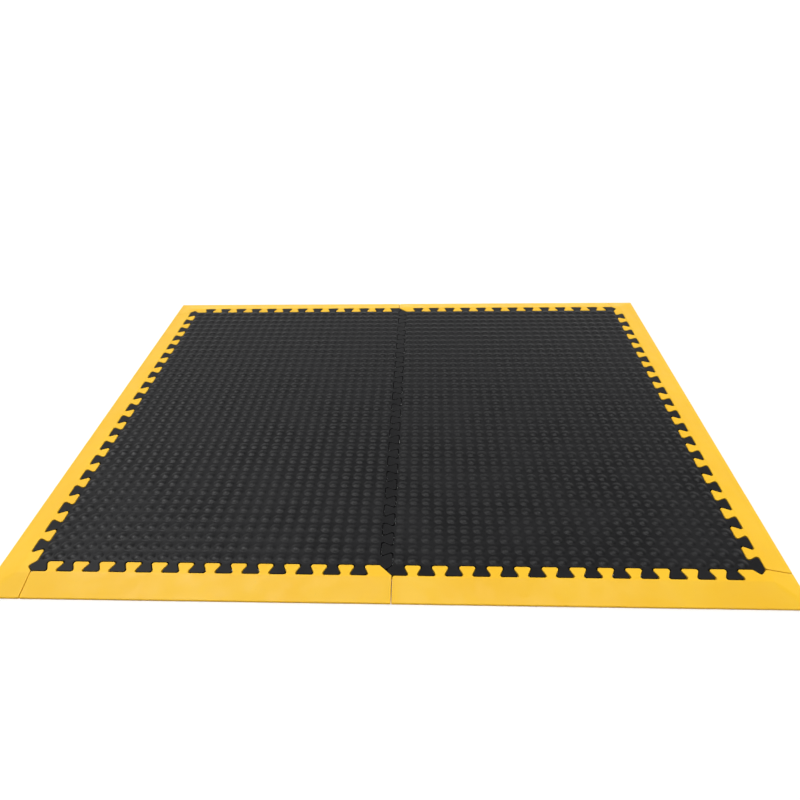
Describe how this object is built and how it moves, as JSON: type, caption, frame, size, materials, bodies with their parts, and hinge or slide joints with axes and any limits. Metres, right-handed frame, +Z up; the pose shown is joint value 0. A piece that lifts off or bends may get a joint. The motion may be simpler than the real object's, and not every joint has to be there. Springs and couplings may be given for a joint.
{
  "type": "anti fatigue mat",
  "caption": "Low rectangular floor mat: bubble-topped foam tiles locked side by side by dovetail jigsaw edges, with ramped border strips that clip on all round.",
  "frame": {"origin": "on the floor under the middle of the laid mat", "axes": "+X along the mat's length, across the two tiles; +Y to the back; +Z up"},
  "size_m": [1.266, 0.988, 0.0151],
  "materials": {
    "foam_core": "matte closed-cell foam",
    "bubble_skin": "satin",
    "border_strip": "satin"
  },
  "bodies": {
    "left_tile": {"left_tile_core": "foam_core", "left_tile_skin": "bubble_skin"},
    "right_tile": {"right_tile_core": "foam_core", "right_tile_skin": "bubble_skin"},
    "front_left_strip": {"front_left_strip": "border_strip"},
    "front_right_strip": {"front_right_strip": "border_strip"},
    "right_strip": {"right_strip": "border_strip"},
    "back_right_strip": {"back_right_strip": "border_strip"},
    "back_left_strip": {"back_left_strip": "border_strip"},
    "left_strip": {"left_strip": "border_strip"}
  },
  "joints": [
    {"name": "right_tile_lift", "type": "slide", "parent": "left_tile", "child": "right_tile", "axis": [0, 0, 1], "range_m": [0, 0.05]},
    {"name": "left_strip_lift", "type": "slide", "parent": "left_tile", "child": "left_strip", "axis": [0, 0, 1], "range_m": [0, 0.05]},
    {"name": "front_left_strip_lift", "type": "slide", "parent": "left_tile", "child": "front_left_strip", "axis": [0, 0, 1], "range_m": [0, 0.05]},
    {"name": "back_left_strip_lift", "type": "slide", "parent": "left_tile", "child": "back_left_strip", "axis": [0, 0, 1], "range_m": [0, 0.05]},
    {"name": "front_right_strip_lift", "type": "slide", "parent": "right_tile", "child": "front_right_strip", "axis": [0, 0, 1], "range_m": [0, 0.05]},
    {"name": "right_strip_lift", "type": "slide", "parent": "right_tile", "child": "right_strip", "axis": [0, 0, 1], "range_m": [0, 0.05]},
    {"name": "back_right_strip_lift", "type": "slide", "parent": "right_tile", "child": "back_right_strip", "axis": [0, 0, 1], "range_m": [0, 0.05]}
  ]
}
